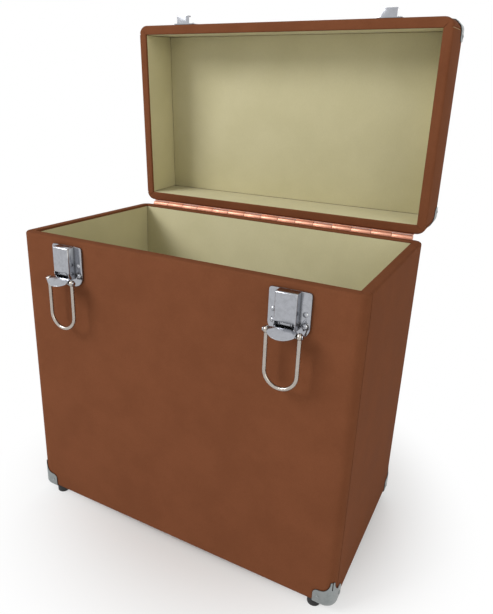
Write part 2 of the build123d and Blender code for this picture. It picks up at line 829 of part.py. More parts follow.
def case_pieces():
    """Everything fixed to the case."""
    shell = Shell((foot_height, rim_z), True)
    boards = shell.boards()
    cover = shell.cover()
    pieces = {}

    protectors = four_corners(protector((foot_height, rim_z), True) - foot_clearance())
    nails_here = at_places(protector_nails(foot_height, -1), nail())
    nail_cuts = solids_of(four_corners(at_places(protector_nails(foot_height, -1), nail_hole())).values())
    pieces["case_corner_nails"] = solids_of(four_corners(nails_here).values())
    for name, piece in protectors.items():
        pieces["case_corner_" + name] = piece - nail_cuts

    latch_cuts = []
    for side, x in latch_places.items():
        place = Location((x, -half_depth, latch_top))
        flange_places = [place * rivet_place for rivet_place in latch_rivet_places()]
        cuts = at_places(flange_places, rivet_hole())
        latch_cuts.append(cuts)
        pieces[side + "_latch_base"] = place * latch_base() - cuts
        pieces[side + "_latch_housing"] = place * latch_housing() - cuts
        pieces[side + "_latch_spring"] = place * latch_spring()
    origins = [Location((x, -half_depth, latch_top)) for x in latch_places.values()]
    rivets = [origin * place for origin in origins for place in latch_rivet_places()]
    pieces["latch_rivets"] = at_places(rivets, rivet())
    pieces["latch_lever_pins"] = at_places(origins, latch_pin())

    hinge_cuts = at_places(hinge_screws_places(-1), rivet_hole())
    spans = knuckle_spans()
    leaf = hinge_leaf(spans[0::2], spans[1::2], -1)
    pieces["hinge_case_leaf"] = leaf - hinge_cuts
    pieces["hinge_case_rivets"] = at_places(hinge_screws_places(-1), rivet())
    pieces["hinge_pin"] = hinge_pin()

    foot_cuts = solids_of([place * shank_hole_down() for place in foot_places().values()])
    for name, place in foot_places().items():
        pieces["foot_" + name] = place * foot()
    pieces["foot_screws"] = solids_of([place * foot_screw() for place in foot_places().values()])

    pieces["front_board"] = boards["front"] - solids_of(latch_cuts) - nail_cuts
    pieces["back_board"] = boards["back"] - hinge_cuts - nail_cuts
    pieces["left_board"] = boards["left"] - nail_cuts
    pieces["right_board"] = boards["right"] - nail_cuts
    pieces["base_board"] = boards["end"] - foot_cuts - nail_cuts
    cover = cover - solids_of(latch_cuts) - hinge_cuts - nail_cuts - foot_cuts
    pieces["case_cover"] = cover
    pieces["case_wall_lining"] = shell.wall_lining()
    pieces["case_floor_lining"] = shell.end_lining()
    return pieces


def lid_pieces():
    """Everything fixed to the lid, in its closed place."""
    z_range = (rim_z + lid_rim_gap, rim_z + lid_height)
    shell = Shell(z_range, False)
    boards = shell.boards()
    pieces = {}

    protectors = four_corners(protector(z_range, False))
    nail_places = protector_nails(z_range[1], 1)
    nail_cuts = solids_of(four_corners(at_places(nail_places, nail_hole())).values())
    pieces["lid_corner_nails"] = solids_of(four_corners(at_places(nail_places, nail())).values())
    for name, piece in protectors.items():
        pieces["lid_corner_" + name] = piece - nail_cuts

    keeper_cuts = []
    rivets = []
    for side, x in latch_places.items():
        place = Location((x, -half_depth, latch_top))
        places = [place * rivet_place for rivet_place in keeper_rivet_places()]
        rivets += places
        cuts = at_places(places, rivet_hole())
        keeper_cuts.append(cuts)
        pieces[side + "_keeper"] = place * keeper() - cuts
    pieces["keeper_rivets"] = at_places(rivets, rivet())

    hinge_cuts = at_places(hinge_screws_places(1), rivet_hole())
    spans = knuckle_spans()
    pieces["hinge_lid_leaf"] = hinge_leaf(spans[1::2], spans[0::2], 1) - hinge_cuts
    pieces["hinge_lid_rivets"] = at_places(hinge_screws_places(1), rivet())

    seat = Location((0, 0, z_range[1] + handle_axis_height))
    handle_places = [seat * place for place in handle_rivet_places()]
    handle_cuts = at_places(handle_places, rivet_hole())
    for side, sign in (("left", -1), ("right", 1)):
        pieces["handle_" + side + "_bracket"] = seat * handle_bracket(sign) - handle_cuts
    pieces["handle_rivets"] = at_places(handle_places, rivet())
    pieces["handle_pins"] = solids_of([seat * handle_pin(-1), seat * handle_pin(1)])

    cuts = solids_of(keeper_cuts)
    pieces["lid_front_board"] = boards["front"] - cuts - nail_cuts
    pieces["lid_back_board"] = boards["back"] - hinge_cuts - nail_cuts
    pieces["lid_left_board"] = boards["left"] - nail_cuts
    pieces["lid_right_board"] = boards["right"] - nail_cuts
    pieces["lid_top_board"] = boards["end"] - handle_cuts - nail_cuts
    pieces["lid_cover"] = shell.cover() - cuts - hinge_cuts - handle_cuts - nail_cuts
    pieces["lid_wall_lining"] = shell.wall_lining()
    pieces["lid_top_lining"] = shell.end_lining()
    return pieces


def moving_latch_pieces():
    """Levers, bails and bail pins in their open, hanging place."""
    pieces = {}
    for side, x in latch_places.items():
        place = Location((x, -half_depth, latch_top))
        pieces[side + "_latch_lever"] = place * latch_lever()
        pieces[side + "_bail_pin"] = place * bail_pin()
        pieces[side + "_latch_bail"] = place * latch_bail()
    return pieces


def handle_pieces():
    """Grip and core, hanging plumb from the brackets of the opened lid."""
    pivot_y, pivot_z = opened_point(0, rim_z + lid_height + handle_axis_height)
    place = Location((0, pivot_y, pivot_z)) * Rotation(-90, 0, 0)
    return {"handle_grip": place * handle_grip(), "handle_core": place * handle_core()}


def write_all():
    """Writes one file for each piece, with the whole centred on the ground."""
    pieces = case_pieces()
    lid = lid_pieces()
    tooth_spans = knuckle_spans()[1::2]
    opened_lid = {name: opened(piece) for name, piece in lid.items()}
    leaf = opened_lid["hinge_lid_leaf"]
    for lug in stop_lugs(tooth_spans):
        leaf = leaf + lug
    opened_lid["hinge_lid_leaf"] = leaf
    pieces.update(opened_lid)
    pieces.update(moving_latch_pieces())
    pieces.update(handle_pieces())
    os.makedirs("parts", exist_ok=True)
    for name, piece in pieces.items():
        export_step(Pos(0, -centre_y, 0) * piece, "parts/" + name + ".step")
    print(len(pieces), "pieces, centre_y", round(centre_y, 3))


write_all()
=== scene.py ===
import json
import math

import bmesh
import bpy
from mathutils import Matrix, Vector

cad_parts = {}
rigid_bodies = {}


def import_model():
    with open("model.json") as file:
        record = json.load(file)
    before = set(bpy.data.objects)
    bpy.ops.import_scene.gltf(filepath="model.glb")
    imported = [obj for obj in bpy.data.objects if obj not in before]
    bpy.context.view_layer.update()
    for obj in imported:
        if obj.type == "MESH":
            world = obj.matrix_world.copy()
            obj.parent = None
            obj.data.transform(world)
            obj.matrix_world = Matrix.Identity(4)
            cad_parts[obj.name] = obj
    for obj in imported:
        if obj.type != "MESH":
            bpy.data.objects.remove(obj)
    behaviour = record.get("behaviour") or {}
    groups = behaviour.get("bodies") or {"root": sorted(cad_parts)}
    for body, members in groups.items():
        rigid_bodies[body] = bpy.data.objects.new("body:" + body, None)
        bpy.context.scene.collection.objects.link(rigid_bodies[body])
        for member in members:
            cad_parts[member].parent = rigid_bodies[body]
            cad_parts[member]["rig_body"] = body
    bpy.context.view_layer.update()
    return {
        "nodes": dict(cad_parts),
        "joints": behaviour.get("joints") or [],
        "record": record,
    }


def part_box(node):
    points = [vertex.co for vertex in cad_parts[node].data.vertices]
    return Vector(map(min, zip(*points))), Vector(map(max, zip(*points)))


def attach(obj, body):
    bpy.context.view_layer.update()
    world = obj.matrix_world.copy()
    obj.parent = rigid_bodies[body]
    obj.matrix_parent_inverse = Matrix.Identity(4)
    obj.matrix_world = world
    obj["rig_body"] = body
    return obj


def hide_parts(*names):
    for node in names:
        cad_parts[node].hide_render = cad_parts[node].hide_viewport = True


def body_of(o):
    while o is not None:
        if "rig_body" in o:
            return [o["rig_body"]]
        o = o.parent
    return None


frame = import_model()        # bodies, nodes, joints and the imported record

mm = 0.001

joints = {joint["name"]: joint for joint in frame["joints"]}
caseLow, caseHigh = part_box("case_cover")
caseCentre = (caseLow + caseHigh) / 2
hingePoint = Vector(joints["lid_hinge"]["pos_m"])
lidTurn = -math.radians(joints["lid_hinge"]["range_deg"][1])

# Pieces are drawn in millimetres. In the case's own drawing x = 0 and y = 0 are its middle
# and z = 0 is the ground; the lid is drawn shut and then swung open.
casePlace = Matrix.Translation((caseCentre.x, caseCentre.y, 0)) @ Matrix.Scale(mm, 4)
fromHinge = Matrix.Translation(-hingePoint)
swingOpen = Matrix.Translation(hingePoint) @ Matrix.Rotation(lidTurn, 4, "X") @ fromHinge
lidPlace = swingOpen @ casePlace


def colour(red, green, blue):
    # screen values from 0 to 255 as the linear colour that shaders take
    def linear(value):
        part = value / 255
        return part / 12.92 if part <= 0.04045 else ((part + 0.055) / 1.055) ** 2.4
    return (linear(red), linear(green), linear(blue), 1)


def put(tree, kind, inputs=None, **settings):
    # one node, with its settings and with each input set or linked
    node = tree.nodes.new(kind)
    for name, value in settings.items():
        setattr(node, name, value)
    for name, value in (inputs or {}).items():
        if isinstance(value, bpy.types.NodeSocket):
            tree.links.new(value, node.inputs[name])
        else:
            node.inputs[name].default_value = value
    return node


def maths(tree, operation, first, second=0.0, third=0.0):
    inputs = {0: first, 1: second, 2: third}
    return put(tree, "ShaderNodeMath", inputs, operation=operation).outputs[0]


def vectorMaths(tree, operation, first, second=(0, 0, 0), result="Vector"):
    inputs = {0: first, 1: second}
    return put(tree, "ShaderNodeVectorMath", inputs, operation=operation).outputs[result]


def spread(tree, value, low, high, newLow=0.0, newHigh=1.0):
    # a value's range stretched to another, with soft ends
    inputs = {"Value": value, "From Min": low, "From Max": high, "To Min": newLow, "To Max": newHigh}
    return put(tree, "ShaderNodeMapRange", inputs, interpolation_type="SMOOTHSTEP").outputs["Result"]


def mixColours(tree, share, first, second):
    inputs = {0: share, 6: first, 7: second}
    return put(tree, "ShaderNodeMix", inputs, data_type="RGBA").outputs[2]


def newGroup(name, inputs, outputs):
    group = bpy.data.node_groups.new(name, "ShaderNodeTree")
    for label, value in inputs.items():
        kind = "NodeSocketVector" if value is None else "NodeSocketFloat"
        socket = group.interface.new_socket(label, in_out="INPUT", socket_type=kind)
        if value is not None:
            socket.default_value = value
    for label in outputs:
        group.interface.new_socket(label, in_out="OUTPUT", socket_type="NodeSocketFloat")
    return group, group.nodes.new("NodeGroupInput").outputs, group.nodes.new("NodeGroupOutput")


def finishGroup(group, result, values):
    for label, socket in values.items():
        group.links.new(socket, result.inputs[label])
    return group


def noise(tree, place, scale, detail=2.0, roughness=0.5):
    inputs = {"Vector": place, "Scale": scale, "Detail": detail, "Roughness": roughness}
    return put(tree, "ShaderNodeTexNoise", inputs).outputs["Fac"]


def cellEdges(tree, place, scale):
    inputs = {"Vector": place, "Scale": scale}
    return put(tree, "ShaderNodeTexVoronoi", inputs, feature="DISTANCE_TO_EDGE").outputs[0]


pebbleLook = {"cell": 0.0011, "wobbleScale": 900.0, "wobble": 0.0005, "finer": 2.3, "pebbleEdge": 0.26,
              "wrinkleEdge": 0.2, "wrinkleShare": 0.25, "mottleScale": 26.0, "mottleRange": (0.3, 0.7)}


def pebbleGrain(look):
    # the pressed grain of leathercloth: soft pebbles with creases between them
    inputs = {"Place": None, "Cell": look["cell"]}
    group, given, result = newGroup("pebbleGrain", inputs, ["Height", "Crease", "Mottle"])
    perCell = maths(group, "DIVIDE", 1.0, given["Cell"])
    wobbling = {"Vector": given["Place"], "Scale": look["wobbleScale"], "Detail": 1.0}
    wobble = put(group, "ShaderNodeTexNoise", wobbling).outputs["Color"]
    shift = vectorMaths(group, "MULTIPLY", wobble, (look["wobble"],) * 3)
    place = vectorMaths(group, "ADD", given["Place"], shift)
    pebble = spread(group, cellEdges(group, place, perCell), 0.0, look["pebbleEdge"])
    finer = cellEdges(group, place, maths(group, "MULTIPLY", perCell, look["finer"]))
    wrinkle = spread(group, finer, 0.0, look["wrinkleEdge"])
    pebbleHeight = maths(group, "MULTIPLY", pebble, 1 - look["wrinkleShare"])
    height = maths(group, "MULTIPLY_ADD", wrinkle, look["wrinkleShare"], pebbleHeight)
    mottle = noise(group, given["Place"], look["mottleScale"], detail=5.0, roughness=0.62)
    crease = maths(group, "SUBTRACT", 1.0, pebble)
    values = {"Height": height, "Crease": crease, "Mottle": spread(group, mottle, *look["mottleRange"])}
    return finishGroup(group, result, values)


paintedShadeLook = {"reach": 0.003, "patch": 500.0, "open": 0.85, "closed": 0.25,
             "patchRange": (0.2, 0.7, 0.6, 1.0)}


def hollowGrime(look):
    # painted shade where surfaces meet: darker where ambient occlusion finds other surfaces close, broken
    # into patches by noise
    inputs = {"Place": None, "Reach": look["reach"], "Patch": look["patch"]}
    group, given, result = newGroup("hollowGrime", inputs, ["Grime"])
    reach = {"Distance": given["Reach"]}
    openness = put(group, "ShaderNodeAmbientOcclusion", reach, samples=8, only_local=False).outputs["AO"]
    patches = noise(group, given["Place"], given["Patch"], detail=3.0)
    closed = spread(group, openness, look["open"], look["closed"])
    grime = maths(group, "MULTIPLY", closed, spread(group, patches, *look["patchRange"]))
    return finishGroup(group, result, {"Grime": grime})


edgeWearAndPaintedLightLook = {"reach": 0.001, "patch": 120.0, "flat": 0.995, "turned": 0.86, "patchRange": (0.35, 0.65)}


def edgeWear(look):
    # edges and corners, where the rounded normal turns away from the flat one: real wear on cloth and
    # rubber, a painted highlight on the plated metals and a painted dark edge on the nickel
    inputs = {"Place": None, "Reach": look["reach"], "Patch": look["patch"]}
    group, given, result = newGroup("edgeWear", inputs, ["Wear"])
    rounded = put(group, "ShaderNodeBevel", {"Radius": given["Reach"]}, samples=4).outputs[0]
    flat = put(group, "ShaderNodeNewGeometry").outputs["Normal"]
    match = vectorMaths(group, "DOT_PRODUCT", rounded, flat, result="Value")
    turned = spread(group, match, look["flat"], look["turned"])
    patches = noise(group, given["Place"], given["Patch"], detail=4.0, roughness=0.6)
    wear = maths(group, "MULTIPLY", turned, spread(group, patches, *look["patchRange"]))
    return finishGroup(group, result, {"Wear": wear})


metalLook = {"hairline": 2600.0, "along": (0.06, 1.0, 1.0), "rippleScale": 95.0, "smudgeScale": 210.0,
             "smudgeRange": (0.35, 0.75)}


def pressedMetal(look):
    # hairline scratches, faint ripples of thin sheet and fingermarks
    inputs = {"Place": None, "Hairline": look["hairline"]}
    group, given, result = newGroup("pressedMetal", inputs, ["Scratch", "Ripple", "Smudge"])
    along = vectorMaths(group, "MULTIPLY", given["Place"], look["along"])
    scratch = noise(group, along, given["Hairline"], detail=2.0)
    ripple = noise(group, given["Place"], look["rippleScale"], detail=1.0)
    smudge = noise(group, given["Place"], look["smudgeScale"], detail=4.0, roughness=0.65)
    values = {"Scratch": scratch, "Ripple": ripple, "Smudge": spread(group, smudge, *look["smudgeRange"])}
    return finishGroup(group, result, values)


flockLook = {"fibre": 1500.0, "drawn": (1.0, 1.0, 0.3), "coarser": 0.45, "fineShare": 0.6,
             "crossShare": 0.4, "strokeScale": 18.0, "range": (0.3, 0.7)}


def flockedBoard(look):
    # short fibres of the lining cloth, with lighter and darker strokes
    inputs = {"Place": None, "Fibre": look["fibre"]}
    group, given, result = newGroup("flockedBoard", inputs, ["Height", "Fleck", "Stroke"])
    drawn = vectorMaths(group, "MULTIPLY", given["Place"], look["drawn"])
    fine = noise(group, drawn, given["Fibre"], detail=3.0, roughness=0.7)
    coarse = maths(group, "MULTIPLY", given["Fibre"], look["coarser"])
    cross = noise(group, given["Place"], coarse, detail=2.0)
    fineHeight = maths(group, "MULTIPLY", fine, look["fineShare"])
    height = maths(group, "ADD", fineHeight, maths(group, "MULTIPLY", cross, look["crossShare"]))
    stroke = noise(group, given["Place"], look["strokeScale"], detail=3.0, roughness=0.55)
    values = {"Height": height, "Fleck": spread(group, fine, *look["range"]),
              "Stroke": spread(group, stroke, *look["range"])}
    return finishGroup(group, result, values)


groups = {"grain": pebbleGrain(pebbleLook), "wear": edgeWear(edgeWearAndPaintedLightLook), "metal": pressedMetal(metalLook),
          "flock": flockedBoard(flockLook), "grime": hollowGrime(paintedShadeLook)}
print("stage: shared effects")


def newMaterial(name):
    material = bpy.data.materials.new(name)
    material.use_nodes = True
    tree = material.node_tree
    return material, tree, tree.nodes["Principled BSDF"]


def useGroup(tree, name, **values):
    place = put(tree, "ShaderNodeTexCoord").outputs["Object"]
    node = put(tree, "ShaderNodeGroup", node_tree=groups[name])
    tree.links.new(place, node.inputs["Place"])
    for label, value in values.items():
        node.inputs[label].default_value = value
    return node.outputs


def bumpFrom(tree, height, strength, distance, below=None):
    inputs = {"Height": height, "Strength": strength, "Distance": distance}
    if below is not None:
        inputs["Normal"] = below
    return put(tree, "ShaderNodeBump", inputs).outputs["Normal"]


def tinted(tree, mask, share, below, tint):
    # a tint laid over a colour by a share of a mask
    return mixColours(tree, maths(tree, "MULTIPLY", mask, share), below, tint)


def leathercloth(name, look):
    material, tree, shader = newMaterial(name)
    grain = useGroup(tree, "grain", Cell=look["cell"])
    wear = useGroup(tree, "wear", Reach=look["wearReach"], Patch=140.0)["Wear"]
    tone = mixColours(tree, grain["Mottle"], look["dark"], look["light"])
    creased = tinted(tree, grain["Crease"], look["creaseShare"], tone, look["crease"])
    rubbed = tinted(tree, wear, look["wearShare"], creased, look["rubbed"])
    # painted shade: the cloth is darkened where ambient occlusion finds latches, plates, seams and other
    # hollows close
    grime = useGroup(tree, "grime", Reach=look["grimeReach"], Patch=90.0)["Grime"]
    shadedCloth = tinted(tree, grime, look["grimeShare"], rubbed, look["grime"])
    tree.links.new(shadedCloth, shader.inputs["Base Color"])
    rough = maths(tree, "MULTIPLY_ADD", grain["Mottle"], look["roughRange"], look["rough"])
    rougher = maths(tree, "MULTIPLY_ADD", grain["Crease"], look["creaseRough"], rough)
    tree.links.new(rougher, shader.inputs["Roughness"])
    place = put(tree, "ShaderNodeTexCoord").outputs["Object"]
    swell = bumpFrom(tree, noise(tree, place, look["swellScale"], detail=1.0), 0.6, look["swell"])
    tree.links.new(bumpFrom(tree, grain["Height"], 0.55, look["depth"], swell), shader.inputs["Normal"])
    shader.inputs["Specular IOR Level"].default_value = look["gloss"]
    return material


def liningCloth(name, look):
    material, tree, shader = newMaterial(name)
    flock = useGroup(tree, "flock", Fibre=1500.0)
    tone = mixColours(tree, flock["Stroke"], look["dark"], look["light"])
    flecked = tinted(tree, flock["Fleck"], look["fleckShare"], tone, look["fleck"])
    tree.links.new(flecked, shader.inputs["Base Color"])
    tree.links.new(spread(tree, flock["Fleck"], 0.0, 1.0, *look["rough"]), shader.inputs["Roughness"])
    tree.links.new(bumpFrom(tree, flock["Height"], 0.5, look["depth"]), shader.inputs["Normal"])
    shader.inputs["Specular IOR Level"].default_value = look["gloss"]
    shader.inputs["Sheen Weight"].default_value = look["sheen"]
    return material


def plated(name, look):
    material, tree, shader = newMaterial(name)
    metal = useGroup(tree, "metal", Hairline=look["hairline"])
    # painted highlight: edges are mixed towards a much lighter colour than the metal (towards a darker one
    # on the nickel, a painted dark edge)
    wear = useGroup(tree, "wear", Reach=look["wearReach"], Patch=260.0)["Wear"]
    tone = tinted(tree, metal["Smudge"], look["smudgeShare"], look["light"], look["dark"])
    paintedEdges = tinted(tree, wear, look["wearShare"], tone, look["rubbed"])
    # painted shade: hollows and joins between parts are darkened nearly to black and made rougher
    grime = useGroup(tree, "grime", Reach=look["grimeReach"], Patch=700.0)["Grime"]
    shadedMetal = tinted(tree, grime, look["grimeShare"], paintedEdges, look["grime"])
    tree.links.new(shadedMetal, shader.inputs["Base Color"])
    rough = maths(tree, "MULTIPLY_ADD", metal["Smudge"], look["roughRange"], look["rough"])
    rougher = maths(tree, "MULTIPLY_ADD", grime, look["grimeRough"], rough)
    tree.links.new(rougher, shader.inputs["Roughness"])
    ripple = bumpFrom(tree, metal["Ripple"], 0.35, look["ripple"])
    tree.links.new(bumpFrom(tree, metal["Scratch"], 0.25, look["scratch"], ripple), shader.inputs["Normal"])
    shader.inputs["Metallic"].default_value = 1.0
    return material


def mouldedRubber(name, look):
    material, tree, shader = newMaterial(name)
    grain = useGroup(tree, "grain", Cell=look["cell"])
    wear = useGroup(tree, "wear", Reach=look["wearReach"], Patch=300.0)["Wear"]
    tone = mixColours(tree, grain["Mottle"], look["dark"], look["light"])
    tree.links.new(mixColours(tree, wear, tone, look["rubbed"]), shader.inputs["Base Color"])
    tree.links.new(spread(tree, grain["Mottle"], 0.0, 1.0, *look["rough"]), shader.inputs["Roughness"])
    tree.links.new(bumpFrom(tree, grain["Height"], 0.3, look["depth"]), shader.inputs["Normal"])
    return material


def pressedBoard(name, look):
    material, tree, shader = newMaterial(name)
    flock = useGroup(tree, "flock", Fibre=look["fibre"])
    tone = mixColours(tree, flock["Fleck"], look["dark"], look["light"])
    tree.links.new(tone, shader.inputs["Base Color"])
    tree.links.new(bumpFrom(tree, flock["Height"], 0.4, look["depth"]), shader.inputs["Normal"])
    shader.inputs["Roughness"].default_value = look["rough"]
    return material


# the dark brown hollow colour paints shade round latches, plates and seams
brown = {
    "dark": colour(120, 73, 49), "light": colour(127, 78, 53),
    "crease": colour(96, 55, 33), "creaseShare": 0.22,
    "rubbed": colour(146, 96, 66), "wearShare": 0.12, "wearReach": 0.0016,
    "grime": colour(74, 42, 26), "grimeShare": 0.8, "grimeReach": 0.004,
    "cell": 0.0011, "depth": 0.00006, "swell": 0.0005, "swellScale": 14.0,
    "rough": 0.7, "roughRange": 0.08, "creaseRough": 0.08, "gloss": 0.015}
beige = {
    "dark": colour(203, 196, 158), "light": colour(209, 202, 165), "fleck": colour(184, 176, 141),
    "fleckShare": 0.18, "rough": (0.86, 0.97), "depth": 0.00012, "gloss": 0.15, "sheen": 0.12}
# chrome: the light edge colour paints a highlight along every edge, the near-black hollow colour paints
# shade where parts meet
chromeLook = {
    "light": (0.40, 0.41, 0.44, 1), "dark": (0.31, 0.32, 0.34, 1), "smudgeShare": 0.6,
    "rubbed": (0.72, 0.72, 0.74, 1), "wearShare": 0.8, "wearReach": 0.0005,
    "grime": (0.035, 0.035, 0.038, 1), "grimeShare": 0.9, "grimeReach": 0.005, "grimeRough": 0.25,
    "hairline": 2600.0, "ripple": 0.0002, "scratch": 0.000006, "rough": 0.12, "roughRange": 0.1}
bailLook = dict(
    chromeLook, light=(0.44, 0.40, 0.36, 1), dark=(0.36, 0.33, 0.30, 1), rough=0.22, grimeReach=0.002)
# nickel: the dark edge colour paints a dark outline along its edges, which is painted shade
nickelLook = dict(
    chromeLook, light=(0.29, 0.31, 0.31, 1), dark=(0.22, 0.24, 0.24, 1), rubbed=(0.16, 0.17, 0.17, 1),
    wearReach=0.0008, wearShare=0.9, rough=0.3, roughRange=0.12, grimeReach=0.002)
zincLook = dict(
    chromeLook, light=(0.42, 0.42, 0.43, 1), dark=(0.33, 0.33, 0.34, 1), rough=0.3, roughRange=0.16)
springLook = dict(chromeLook, light=(0.22, 0.22, 0.24, 1), dark=(0.14, 0.14, 0.16, 1), rough=0.3)
# copper: the dark hollow colour paints shade where parts meet
copperLook = dict(
    chromeLook, light=(0.70, 0.36, 0.25, 1), dark=(0.60, 0.29, 0.20, 1), rubbed=(0.74, 0.42, 0.31, 1),
    rough=0.46, roughRange=0.14, grime=(0.12, 0.05, 0.03, 1), grimeReach=0.002, grimeShare=0.6)
rubberLook = {
    "dark": colour(22, 22, 23), "light": colour(34, 34, 35), "rubbed": colour(70, 70, 70),
    "cell": 0.0006, "wearReach": 0.0006, "depth": 0.00004, "rough": (0.62, 0.8)}
boardLook = {"dark": colour(150, 120, 84), "light": colour(186, 154, 112), "fibre": 700.0, "depth": 0.0001,
             "rough": 0.9}
threadLook = dict(boardLook, dark=colour(58, 34, 22), light=colour(84, 52, 34))

brownCloth = leathercloth("brownLeathercloth", brown)
gripCloth = leathercloth("gripLeathercloth", dict(brown, cell=0.0008))
lining = liningCloth("beigeLining", beige)
chrome = plated("polishedChrome", chromeLook)
bailWire = plated("bailWire", bailLook)
nickel = plated("satinNickel", nickelLook)
zinc = plated("zincPlatedSteel", zincLook)
springSteel = plated("springSteel", springLook)
copper = plated("coppery", copperLook)
rubber = mouldedRubber("blackRubber", rubberLook)
board = pressedBoard("rawBoard", boardLook)
thread = pressedBoard("waxedThread", threadLook)

slotMaterials = {
    "board": board, "leathercloth": brownCloth, "grip_leathercloth": gripCloth, "lining": lining,
    "nickel": nickel, "chrome": chrome, "zinc_steel": zinc, "spring_steel": springSteel,
    "hinge_metal": copper, "rubber_foot": rubber}
slotOf = {part["node"]: part["material_slot"] for part in frame["record"]["subparts"]}
for node, slotName in slotOf.items():
    shown = frame["nodes"][node].data
    shown.materials.clear()
    shown.materials.append(slotMaterials[slotName])
print("stage: materials")


def finishPiece(name, shape, node, material, *replaced, place=None, sharp=32.0):
    # a bmesh as a finished piece that rides with a node's body and stands for the replaced nodes
    if place is not None:
        bmesh.ops.transform(shape, matrix=place, verts=shape.verts)
    bmesh.ops.recalc_face_normals(shape, faces=shape.faces)
    for face in shape.faces:
        face.smooth = True
    for edge in shape.edges:
        edge.smooth = edge.calc_face_angle(0.0) < math.radians(sharp)
    mesh = bpy.data.meshes.new(name)
    shape.to_mesh(mesh)
    shape.free()
    mesh.materials.append(material)
    piece = bpy.data.objects.new(name, mesh)
    bpy.context.scene.collection.objects.link(piece)
    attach(piece, body_of(frame["nodes"][node])[0])
    if replaced:
        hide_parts(*replaced)
    return piece


def roundEdges(shape, edges, radius, steps, clamp=False):
    bmesh.ops.bevel(shape, geom=edges, offset=radius, offset_type="OFFSET", segments=steps, profile=0.5,
                    affect="EDGES", material=-1, clamp_overlap=clamp)


def addSlab(shape, low, high, radius, steps=2):
    # a board between two corners with softly rounded edges
    verts = bmesh.ops.create_cube(shape, size=1.0)["verts"]
    bmesh.ops.scale(shape, vec=[top - bottom for bottom, top in zip(low, high)], verts=verts)
    bmesh.ops.translate(shape, vec=[(top + bottom) / 2 for bottom, top in zip(low, high)], verts=verts)
    edges = list({edge for vert in verts for edge in vert.link_edges})
    roundEdges(shape, edges, radius, steps)


skinLook = {
    "width": 360.0, "depth": 208.0, "sheet": 0.7, "uprightRound": 10.0, "endRound": 5.0, "rimRound": 2.5,
    "rimWidth": 10.0, "rimFold": 1.0, "turnIn": 1.6, "mitreDepth": 0.5, "seamIn": 9.6, "seamHalf": 0.8,
    "seamDepth": 1.3, "panelInset": 4.4, "panelStep": 0.35, "panelSlope": 0.3,
    "foldSteps": ((0.3, 0.05), (0.6, 0.95))}
tiny = 0.001


def wrappedSkin(look, height):
    # the cloth round one half, closed end down: rounded edges, seams beside the corners and a folded rim
    shape = bmesh.new()
    halfWidth, halfDepth = look["width"] / 2, look["depth"] / 2
    verts = bmesh.ops.create_cube(shape, size=1.0)["verts"]
    bmesh.ops.scale(shape, vec=(look["width"], look["depth"], height), verts=verts)
    bmesh.ops.translate(shape, vec=(0, 0, height / 2), verts=verts)
    upright = [edge for edge in shape.edges if abs(edge.verts[0].co.z - edge.verts[1].co.z) > 1]
    roundEdges(shape, upright, look["uprightRound"], 8)
    for level, radius in ((0, look["endRound"]), (height, look["rimRound"])):
        ring = [edge for edge in shape.edges if all(abs(vert.co.z - level) < tiny for vert in edge.verts)]
        roundEdges(shape, ring, radius, 4)
    foldRim(shape, look, height)
    end = [face for face in shape.faces if face.calc_center_median().z < tiny]
    insetRing(shape, end, look["panelInset"])
    insetRing(shape, end, look["panelSlope"], -look["panelStep"])
    outside = halfWidth - look["rimRound"]
    for side in (-1, 1):
        seam = side * (halfDepth - look["seamIn"])
        for offset, depth in ((-look["seamHalf"], 0), (0, look["seamDepth"]), (look["seamHalf"], 0)):
            pressLine(shape, seam + offset, depth, outside)
    return shape


def insetRing(shape, faces, width, rise=0.0):
    bmesh.ops.inset_region(shape, faces=faces, thickness=width, depth=rise, use_even_offset=True)


def pressLine(shape, place, depth, outside):
    # an upright line across both side walls, pressed in by a depth
    everything = shape.verts[:] + shape.edges[:] + shape.faces[:]
    plane = {"plane_co": (0, place, 0), "plane_no": (0, 1, 0)}
    cut = bmesh.ops.bisect_plane(shape, geom=everything, dist=tiny / 10, **plane)
    for part in cut["geom_cut"]:
        if isinstance(part, bmesh.types.BMVert) and abs(part.co.x) > outside:
            part.co.x -= math.copysign(depth, part.co.x)


def foldRim(shape, look, height):
    # the cloth's fold over the rim, its turn inwards, and a mitre in each corner
    top = [face for face in shape.faces if face.calc_center_median().z > height - tiny]
    insetRing(shape, top, look["rimWidth"] - look["rimRound"] - look["rimFold"])
    inX, inY = look["width"] / 2 - look["rimWidth"], look["depth"] / 2 - look["rimWidth"]
    for vert in shape.verts:
        besideX, besideY = abs(vert.co.x) - inX, abs(vert.co.y) - inY
        if vert.co.z > height - tiny and besideX > 0.1 and abs(besideX - besideY) < 0.01:
            vert.co.z -= look["mitreDepth"]
    for width, fall in look["foldSteps"]:
        insetRing(shape, top, width * look["rimFold"], -fall)
    turned = bmesh.ops.extrude_face_region(shape, geom=top)["geom"]
    moved = [part for part in turned if isinstance(part, bmesh.types.BMVert)]
    bmesh.ops.translate(shape, vec=(0, 0, -look["turnIn"]), verts=moved)
    inner = [part for part in turned if isinstance(part, bmesh.types.BMFace)]
    bmesh.ops.delete(shape, geom=inner + [face for face in top if face.is_valid], context="FACES")


def thicken(piece, depth):
    wrap = piece.modifiers.new("clothThickness", "SOLIDIFY")
    wrap.thickness = depth * mm
    wrap.offset = -1


liningLook = {"outside": 8.8, "sheet": 1.2, "gap": 0.4, "reveal": 2.1, "round": 0.4}


